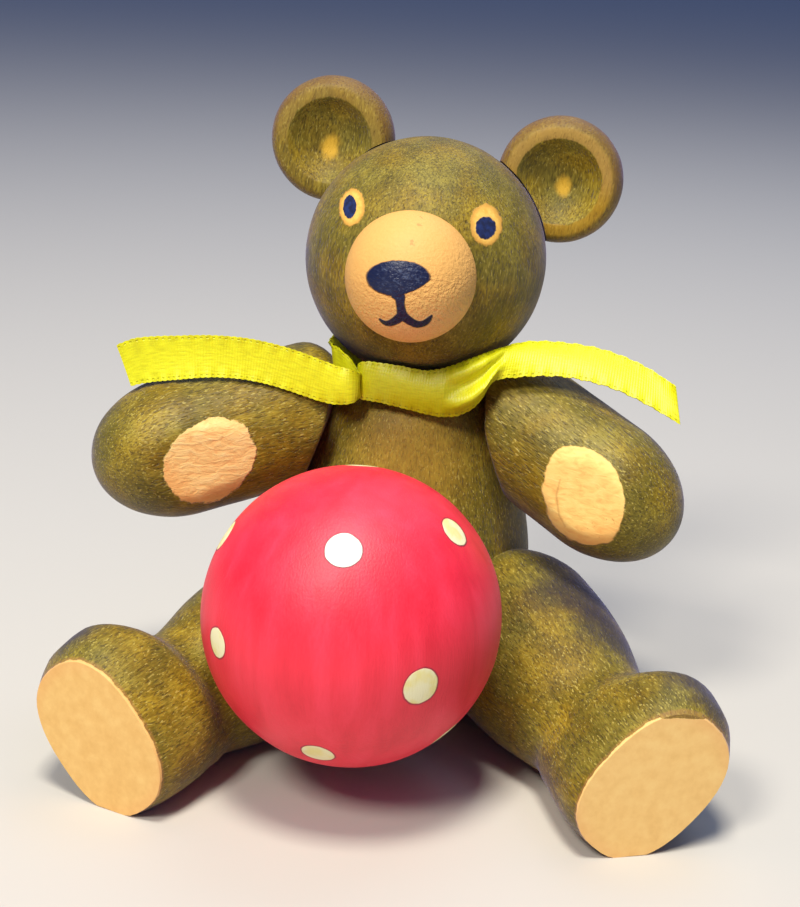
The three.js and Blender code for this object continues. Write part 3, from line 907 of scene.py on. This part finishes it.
# %% [markdown]
# ## The body's finish
# Between the arms the chest is more ochre and paler than on the sides. The ochre is partly the stain and partly
# painted light, and the paler tan is painted light.
# %% The body's finish
# painted light on the chest: a warmer ochre, partly the stain, and a paler tan
CHEST_OCHRE_AND_PAINTED_LIGHT = [((0.5, -7.5, 19.5), 8)]
CHEST_PAINTED_LIGHT = ((0.5, -7, 20.5), 1.5, 6)  # its middle, and the radii between which it fades
PAINTED_LIGHT_TAN = linear(198, 160, 60)

pieces = bpy.data.objects
f, _, color, height = stained("olive_stain_body", SEEDS["body"], (BODY_X, 0, 0), warm=CHEST_OCHRE_AND_PAINTED_LIGHT)
# painted light: the chest is painted a paler tan
color = f.mix(around(f, f.places(), *CHEST_PAINTED_LIGHT) * 0.4, color, PAINTED_LIGHT_TAN)
finish_stain(f, color, height, pieces["body_pear"])

# %% [markdown]
# ## The ears' finish
# On the ears the stain is worn in rings. The flat band round the bowl is sanded to a warm tan, the round edge beyond
# it is a redder brown, and a little below the middle of the bowl there is a small pale yellow spot.
# %% The ears' wear
BAND_TAN = linear(170, 132, 62)
BAND_OCHRE = linear(176, 130, 24)
BAND_OLIVE = linear(120, 104, 40)
RIM_BROWN = linear(124, 86, 50)
PALE_YELLOW_SPOT = linear(226, 176, 50)
EAR_WEAR = {
    # how pale the band is, its lower part's own colour, and the pale spot's place and half width
    "left_ear": (0.8, BAND_OCHRE, (0.3, 0, -0.35), 0.7),
    "right_ear": (0.35, BAND_OLIVE, (-0.1, 0, -0.6), 0.85),
}

# %% The ears' finish
for name, side in EARS.items():
    pale, low_color, spot_place, spot_width = EAR_WEAR[name]
    f, at, color, height = stained("olive_stain_" + name, SEEDS[name], HEAD_CENTRE, HEAD_TILT, flecked=0.35)
    own = f.shifted(at, mirrored(EAR_PLACE, side))
    radius = f.length(f.stretched(own, (1, 0, 1))) + (f.noise(at, 1.1, 3) - 0.5) * 0.5
    backwards = f.along(own, (0, 1, 0))
    upper = f.ease(f.along(own, (0, 0, 1)), -1.5, 1.0)
    outside_bowl = f.ease(radius, BOWL_RADIUS, BOWL_RADIUS + 0.12)
    inside_rim = 1 - f.ease(radius, BAND_RADIUS, BAND_RADIUS + 0.4)
    band = outside_bowl * inside_rim * (1 - f.ease(backwards, -1.3, -0.8))
    rim = f.ease(radius, BAND_RADIUS - 0.1, BAND_RADIUS + 0.5)
    color = f.mix(rim * (upper * 0.3 + 0.3), color, RIM_BROWN)
    color = f.mix(band * pale * (upper * 0.3 + 0.7), color, f.mix(upper, low_color, BAND_TAN))
    gap = f.length(f.stretched(f.shifted(own, spot_place), (1.2, 0, 0.85))) + (f.noise(at, 1.6, 3) - 0.5) * 0.8
    pale_spot = (1 - f.ease(gap, spot_width * 0.35, spot_width * 1.25)) * (1 - f.ease(backwards, 0.4, 0.6))
    color = f.mix(pale_spot * 0.9, color, PALE_YELLOW_SPOT)
    finish_stain(f, color, height, pieces[name + "_dish"])

# %% [markdown]
# ## The head's finish
# The head carries the same stain, with two tan ovals for the eyes and a dark pupil in each. No two are quite the
# same: the bear's left eye is rounder, its pupil sits low, and its outline is ragged below.
# %% The head and the eyes
EYES = [
    # each oval's centre, across, up, half width and half height: first the tan ring, then the pupil
    (((-4.99, -6.14, 3.74), (0.984, 0.165, 0.061), (-0.087, 0.155, 0.984), 0.88, 1.26),
     ((-5.15, -6.01, 3.71), (0.977, 0.175, 0.118), (-0.144, 0.145, 0.979), 0.46, 0.8)),
    (((4.41, -6.25, 4.25), (0.966, 0.114, 0.232), (-0.247, 0.141, 0.959), 1.07, 1.41),
     ((4.42, -6.33, 4.05), (0.981, 0.104, 0.165), (-0.179, 0.15, 0.972), 0.71, 0.75)),
]
EYE_TAN = tones((0.35, 228, 172, 72), (0.6, 240, 192, 92))
EYE_RIM = linear(206, 150, 62)
NAVY_PAINT = linear(18, 26, 60)
PUPIL = [(0.4, NAVY_PAINT), (0.65, linear(26, 44, 96))]

f, at, color, height = stained("olive_stain_head_and_eyes", SEEDS["head"], HEAD_CENTRE, HEAD_TILT, flecked=0.28)
for ring_oval, pupil_oval in EYES:
    centre, across, up, half_width, half_height = ring_oval
    ring = spot(f, at, *ring_oval, ragged=0.16)
    inner = spot(f, at, centre, across, up, half_width * 0.82, half_height * 0.86, ragged=0.1, soft=0.2)
    dark = spot(f, at, *pupil_oval, ragged=0.2)
    paint = f.mix(inner, EYE_RIM, f.ramp(f.noise(at, 3.0, 3), EYE_TAN))
    color = f.mix(ring, color, paint)
    color = f.mix(dark, color, f.ramp(f.noise(at, 2.6, 3), PUPIL))
    height = height * (1 - ring) + ring * 0.9 + dark * 0.3
finish_stain(f, color, height, pieces["head_ball"])

# %% [markdown]
# ## The muzzle's finish
# The muzzle is painted tan, thick enough to hide the grain but with the brush's stipple in it, and the nose and the
# mouth are drawn on it in blue-black: one broad oval, a short line down, and two curled strokes. A little grime has
# settled in the paint above the nose, and the nose itself is greyer in patches. The tan is painted darker towards
# the top and paler below: painted shade above and painted light below, against the light that falls on it.
# %% The nose and the mouth
MUZZLE_PLACE = head_frame @ mm(0, -MUZZLE_OUT, 0)
NOSE = {"centre": (-0.4, 0.55), "half_width": 2.17, "half_height": 1.18, "tilt": radians(12)}
FACE_LINES = {
    # points across and up from the muzzle's middle, and the half width of the stroke there
    "nose_tip": [(-0.35, -0.25, 0.5), (0.03, -0.72, 0.3)],
    "lip": [(0.0, -0.6, 0.34), (0.12, -1.2, 0.28), (0.33, -1.9, 0.36)],
    "mouth_right": [
        (0.33, -1.9, 0.36), (0.02, -2.25, 0.31), (-0.45, -2.68, 0.25), (-0.83, -2.78, 0.2), (-1.19, -2.6, 0.1),
    ],
    "mouth_left": [
        (0.33, -1.9, 0.36), (0.85, -2.25, 0.31), (1.3, -2.43, 0.28), (1.77, -2.3, 0.23), (2.06, -1.96, 0.18),
        (2.2, -1.68, 0.08),
    ],
}

f = Finish("tan_paint_muzzle_nose_and_mouth", Specular_IOR_Level=0.4)
at = f.places([c / MM for c in MUZZLE_PLACE], HEAD_TILT)
u, v = f.along(at, (1, 0, 0)), f.along(at, (0, 0, 1))
wobble = (f.noise(at, 2.6, 3) - 0.5) * 0.2
c, s = cos(NOSE["tilt"]), sin(NOSE["tilt"])
du, dv = u - NOSE["centre"][0], v - NOSE["centre"][1]
oval_u = (du * c + dv * s) / NOSE["half_width"]
oval_v = (dv * c - du * s) / NOSE["half_height"]
oval = (oval_u * oval_u + oval_v * oval_v).root() + wobble * 0.6
# the oval is cut a little flat at its lower right
oval = oval + (oval_u * 0.6 - oval_v * 0.8 - 0.72).maximum(0.0) * 0.9
dark = 1 - f.ease(oval, 0.95, 1.04)
for points in FACE_LINES.values():
    points = [tuple(p) for p in curve_through(points, 2 * len(points))]
    dark = dark.maximum(stroke(f, u + wobble * 0.4, v + wobble * 0.4, points))
dark = dark * f.ease(f.along(at, (0, -1, 0)), 0.5, 0.8)

# %% The muzzle's paint
MUZZLE_TAN = tones((0.2, 242, 192, 118), (0.5, 238, 186, 104), (0.85, 230, 172, 92))
GRIME = linear(150, 96, 48)
GREYED_NAVY = linear(78, 90, 118)
STIPPLE_DEPTH = 0.22

stipple = f.noise(at, 4.2, 2, 0.6)
dabs = f.noise(f.stretched(at, (1.6, 1.6, 2.6)), 1.0, 2, 0.6, 0.4)
# painted shade and light: the tan is darker towards the top and paler below, against the light that falls on it
low = f.ease(v - u * 0.25, -3.8, 0.5)
tan = f.ramp(stipple * 0.35 + low * 0.65, MUZZLE_TAN)
crest = u - v * 0.08 + 0.1
specks = 1 - f.ease((crest * crest).root(), 0.12, 0.3)
seam = f.ease(f.noise(f.stretched(at, (1.5, 1.5, 2.4)), 1.6, 2, 0.6), 0.58, 0.64) * specks
grime = f.ease(f.noise(at, 3.2, 3, 0.7), 0.66, 0.74).maximum(seam * f.ease(v, 2.0, 2.6))
tan = f.mix(grime * 0.4, tan, GRIME)
grey_patches = f.ease(f.noise(f.stretched(at, (2.2, 2.2, 4.4)), 1.0, 4, 0.65), 0.5, 0.72) * (1 - f.ease(oval, 0.6, 0.95))
nose_tone = f.mix(grey_patches * 0.75, NAVY_PAINT, GREYED_NAVY)
rougher = 1 - f.ease(v - u * 0.5, -2.5, 2.5)
f.feed("Base Color", f.mix(dark, tan, nose_tone))
f.feed("Roughness", 0.62 - dark * 0.24)
f.relief((stipple * 0.6 + dabs * 0.4) * (rougher * 1.1 + 0.25) + dark * 0.5, STIPPLE_DEPTH)
f.give_to(pieces["muzzle_ball"])

# %% [markdown]
# ## The palms
# The palms were painted a pale peach with a loaded brush. The paint is thick, with ridges in it and a ragged edge,
# and it covers more than the small flat. A palm's outline is an oval seen from its front, so its mask works across
# that direction. Towards the arm's end and downwards, the peach is a deeper orange.
# %% The palms' paint
PALM_FRONT = Vector((0.067, -0.949, 0.309))
PALMS = {
    # centre, long axis, half length, half width, and how ridged the paint is
    "right_arm": ((-13.59, -10.42, 19.7), (-0.697, -0.266, -0.666), 3.42, 2.61, 1.0),
    "left_arm": ((12.55, -10.43, 19.2), (0.393, -0.26, -0.882), 3.52, 2.6, 0.45),
}
PEACH = {
    "right_arm": tones((0.3, 242, 188, 112), (0.5, 252, 210, 130), (0.72, 254, 224, 150)),
    "left_arm": tones((0.3, 240, 184, 100), (0.5, 250, 208, 118), (0.72, 252, 218, 132)),
}
DEEPER_PEACH = linear(240, 160, 78)
CREASE_BROWN = linear(176, 116, 56)
LEFT_PALM_CREASE = [(-1.58, -1.11, 0.03), (-0.61, -1.7, 0.06), (0.75, -1.95, 0.06), (1.65, -1.81, 0.03)]

# %% The arms' finish
for name, arm in ARMS.items():
    turned_to = arm_frame(arm["shoulder"], arm["direction"]).to_euler()
    f, _, color, height = stained("olive_stain_" + name, SEEDS[name], arm["shoulder"], turned_to)
    world = f.places()
    centre, long_axis, long_half, short_half, ridged = PALMS[name]
    long_axis = Vector(long_axis).normalized()
    short_axis = PALM_FRONT.cross(long_axis).normalized()
    near = f.shifted(world, centre)
    along, aside = f.along(near, long_axis), f.along(near, short_axis)
    a, b = along / long_half, aside / short_half
    edge = (a * a + b * b).root() + (f.noise(world, 0.7, 2) - 0.5) * 0.22
    edge = edge + (f.noise(world, 4.5, 2) - 0.5) * 0.1 * ridged
    faces_front = f.ease(f.along(near, PALM_FRONT), -4.5, -4.0)
    mask = (1 - f.ease(edge, 0.985, 1.03)) * faces_front
    ridges = f.noise(f.stretched(world, (1.0, 1.0, 2.6)), 1.1, 4, 0.6, 0.6)
    peach = f.ramp(ridges, PEACH[name])
    if name == "left_arm":
        crease = stroke(f, along, aside, LEFT_PALM_CREASE, 0.08)
        specks = f.ease(f.noise(world, 3.6, 1), 0.68, 0.72) * f.ease(along, 1.6, 2.0)
        peach = f.mix(crease.maximum(specks) * 0.5, peach, CREASE_BROWN)
    towards_end = f.ease(along, long_half * 0.35, long_half)
    height = height * (1 - mask) + mask * (ridges * 1.6 * ridged + 0.9)
    f.feed("Base Color", f.mix(mask, color, f.mix(towards_end * 0.5, peach, DEEPER_PEACH)))
    f.feed("Roughness", (height - 0.5) * 0.1 + 0.48 + mask * 0.08)
    f.relief(height, depth=0.06)
    f.give_to(pieces[name + "_rod"])

# %% [markdown]
# ## The soles
# On the soles the peach is thin and even and stops at the edge of the flat, where the stain is rubbed. The upper
# inner corner of the bear's left sole was missed by the brush. The legs are warmer at the shins, and painted shade
# darkens the bear's left thigh under its arm and the tops of the feet.
# %% The soles' paint
SOLE_PEACH = {
    "left_leg": tones((0.3, 240, 192, 114), (0.5, 246, 200, 122), (0.72, 250, 208, 130)),
    "right_leg": tones((0.3, 230, 180, 102), (0.5, 236, 188, 110), (0.72, 242, 198, 120)),
}
SOLE_RIM = linear(234, 158, 96)
RUBBED_EDGE = linear(170, 118, 66)
MISSED_CORNER = (4.86, 4.92)  # how far towards that corner the paint thins out and ends
SHIN_WARMTH = {"left_leg": [((11.7, -16.4, 9.4), 4.5)], "right_leg": [((-12.2, -21.5, 7.5), 4)]}
# painted shade: the arm's shadow on the bear's left thigh, and darker shade on the tops of the feet
LEG_SHADES = {
    "left_leg": [((13.2, -9.3, 11.6), 6), ((15.4, -12.6, 10.0), 4.5), ((21.0, -21.0, 10.2), 3.6)],
    "right_leg": [((-20.5, -20.8, 10.2), 2.6)],
}

# %% The legs' finish
for name, leg in LEGS.items():
    side, turn, lean = leg["side"], leg["turn"], leg["lean"]
    hip, sole = mirrored(leg["hip"], side), mirrored(leg["sole"], side)
    grain = (sole - hip).to_track_quat("Z", "Y").to_euler()
    shades = {"warm": SHIN_WARMTH[name], "purple": LEG_SHADES[name]}
    f, _, color, height = stained("olive_stain_" + name, SEEDS[name], hip, grain, **shades)
    world = f.places()
    near = f.shifted(world, sole)
    out = f.along(near, mirrored((sin(turn), -cos(turn), 0), side)) + (f.noise(world, 1.6, 3) - 0.5) * 0.3
    mask = f.ease(out, -0.2, -0.12)
    if name == "left_leg":
        towards_toes = f.along(near, (cos(turn) * sin(lean), sin(turn) * sin(lean), cos(lean)))
        inner = f.along(near, (-cos(turn) * cos(lean), -sin(turn) * cos(lean), sin(lean)))
        corner = towards_toes * 0.8 + inner * 0.6 + (f.noise(world, 1.4, 3) - 0.5) * 0.3
        mask = mask * (1 - f.ease(corner, *MISSED_CORNER))
    rubbed = f.ease(out, -0.42, -0.25) * (1 - mask)
    color = f.mix(rubbed * 0.4, color, RUBBED_EDGE)
    dabs = f.noise(world, 1.2, 4, 0.6)
    sole_color = f.mix(f.ease(f.length(near), 4.2, 5.6) * 0.25, f.ramp(dabs, SOLE_PEACH[name]), SOLE_RIM)
    f.feed("Base Color", f.mix(mask, color, sole_color))
    f.feed("Roughness", (height - 0.5) * 0.2 + 0.56 + mask * 0.06)
    f.relief(height * (1 - mask) + mask * (dabs * 0.3 + 0.7), depth=0.05)
    f.give_to(pieces[name + "_limb"])

# %% [markdown]
# ## The ball's finish
# The red is a lacquer over the wood, so the grain still shows as slightly darker upright bands. The dots are dabbed
# on top in a cream white, and the lacquer is a little darker round each. The dot at the front, high on the ball, is
# painted a whiter white: a painted highlight.
# %% The dots
DOTS = [
    # the way from the ball's centre, and the dot's radius
    (-0.001, -0.687, 0.727, 1.15), (0.66, -0.203, 0.724, 1.02), (-0.791, -0.612, -0.002, 0.98),
    (0.533, -0.842, -0.079, 1.2), (-0.105, -0.753, -0.65, 1.08), (-0.006, 0.316, 0.949, 1.15),
    (-0.851, -0.061, 0.522, 1.1), (0.682, -0.315, -0.66, 1.15), (0.21, 0.61, -0.76, 1.15), (-0.62, 0.08, -0.78, 1.15),
    (0.19, 0.95, 0.23, 1.15), (0.93, 0.38, -0.02, 1.15), (-0.69, 0.72, -0.04, 1.15),
]

f = Finish("red_lacquer_with_white_dots", Specular_IOR_Level=0.5)
at = f.places(BALL_CENTRE)
gaps = [f.distance(at, Vector(way).normalized() * BALL_RADIUS) - radius for *way, radius in DOTS]
nearest = gaps[0]
for gap in gaps[1:]:
    nearest = nearest.minimum(gap)
nearest = nearest + (f.noise(at, 0.8, 3) - 0.5) * 0.22
dots = 1 - f.ease(nearest, -0.04, 0.04)
dot_ring = (1 - f.ease(nearest, 0.02, 0.16)) * (1 - dots)

# %% The lacquer
RED = tones((0.3, 228, 32, 54), (0.5, 242, 44, 66), (0.7, 250, 56, 80))
WINE_RING = linear(120, 16, 50)
CREAM, YELLOWED_CREAM = linear(248, 240, 190), linear(244, 230, 150)
PAINTED_HIGHLIGHT_WHITE = linear(250, 249, 228)

grain = f.noise(f.stretched(at, (0.6, 0.6, 0.04)), 1.0, 2, 0.5, 0.4)
fibre = f.noise(f.stretched(at, (8.0, 8.0, 0.8)), 1.0, 3, 0.6)
red = f.mix(dot_ring * 0.8, f.ramp(grain * 0.75 + fibre * 0.25, RED), WINE_RING)
cream = f.mix(f.ease(f.noise(at, 0.9, 2), 0.4, 0.65), CREAM, YELLOWED_CREAM)
# painted highlight: the front upper dot is painted whiter
cream = f.mix(1 - f.ease(gaps[0], 0.2, 0.4), cream, PAINTED_HIGHLIGHT_WHITE)
f.feed("Base Color", f.mix(dots, red, cream))
f.feed("Roughness", 0.42 + fibre * 0.12)
f.relief(fibre * 0.6 + dots * 1.2, depth=0.04)
f.give_to(pieces["lap_ball"])

# %% [markdown]
# ## The ribbon's finish
# Satin shines because its threads float over one another along the ribbon. The weave is a fine rib across the
# width, read from the grid's own UV map. Beside each edge a row of small dark gaps shows where the picot loops
# leave the weave. At the throat, under the head, the yellow is painted darker and duller: painted shade.
# %% The ribbon's finish
SATIN = tones((0.3, 208, 204, 2), (0.5, 224, 221, 5), (0.72, 234, 234, 14))
# painted shade: a darker, duller yellow where the head shades the ribbon at the throat
SHADED_SATIN = linear(172, 168, 4)
PICOT_GAP = linear(140, 136, 4)
RIB_PITCH = 0.2
THROAT_SHADE = ((0.3, -6.6, 24.6), 2, 5.5)  # its middle, and the radii between which the dull patch fades

f = Finish("yellow_green_satin", Specular_IOR_Level=0.5)
uv = f.node("ShaderNodeTexCoord", output="UV")
run_along = f.along(uv, (1, 0, 0)) * ribbon_length
across = f.along(uv, (0, 1, 0)) * RIBBON_WIDTH
ribs = (run_along * (tau / RIB_PITCH)).wave() * 0.5 + 0.5
threads = f.noise(f.stretched(uv, (ribbon_length * 1.2, RIBBON_WIDTH * 7, 1.0)), 1.0, 2, 0.6)
from_edge = across.minimum(RIBBON_WIDTH - across)
loops = f.ease((run_along * (tau / PICOT_PITCH)).wave(), 0.1, 0.7)
picot_gaps = loops * f.ease(from_edge, 0.1, 0.13) * (1 - f.ease(from_edge, 0.17, 0.22))
# painted shade at the throat, under the head
yellow = f.mix(around(f, f.places(), *THROAT_SHADE) * 0.45, f.ramp(threads, SATIN), SHADED_SATIN)
f.feed("Base Color", f.mix(picot_gaps * 0.35, yellow, PICOT_GAP))
f.feed("Roughness", 0.38 + threads * 0.16)
f.relief(ribs * 0.3 + threads * 0.7 - picot_gaps, depth=0.03)
f.give_to(strip)

# %% [markdown]
# ## The stage
# A pale floor under soft light, as in the photograph. The main light hangs almost overhead, a second one stands in
# front to the left, and a weak cool one behind gives the edges their outline. The sky is a dim blue, so the shaded
# undersides turn a little violet.
# %% The floor
FLOOR_COLOR = (0.58, 0.54, 0.47, 1)

fresh_start()
bpy.ops.mesh.primitive_plane_add(size=6)
floor = bpy.context.object
floor.name = "floor"
pale = bpy.data.materials.new("pale_floor")
pale.use_nodes = True
pale.node_tree.nodes["Principled BSDF"].inputs["Base Color"].default_value = FLOOR_COLOR
pale.node_tree.nodes["Principled BSDF"].inputs["Roughness"].default_value = 0.85
floor.data.materials.append(pale)

# %% The lights
LIT_PLACE = (0, -8, 18)
LIGHTS = {
    # place and size in millimetres, power in watts, and colour
    "key": ((-15, -118, 385), 90, 1.4, (1.0, 0.97, 0.88)),
    "front": ((-120, -250, 290), 90, 0.95, (1.0, 0.97, 0.9)),
    "back": ((60, 160, 300), 220, 0.3, (0.7, 0.8, 1.0)),
}
SKY_COLOR, SKY_STRENGTH = (0.24, 0.4, 1.0, 1), 0.27

for name, (light_place, size, power, color) in LIGHTS.items():
    bpy.ops.object.light_add(type="AREA", location=mm(*light_place))
    light = bpy.context.object
    light.name = name
    light.data.size = size * MM
    light.data.energy = power
    light.data.color = color
    light.rotation_euler = (mm(*LIT_PLACE) - mm(*light_place)).to_track_quat("-Z", "Y").to_euler()
    print(name, "light,", power, "W")
sky = bpy.data.worlds.new("soft_sky")
sky.use_nodes = True
sky.node_tree.nodes["Background"].inputs["Color"].default_value = SKY_COLOR
sky.node_tree.nodes["Background"].inputs["Strength"].default_value = SKY_STRENGTH
bpy.context.scene.world = sky
bpy.context.scene.view_settings.view_transform = "Standard"
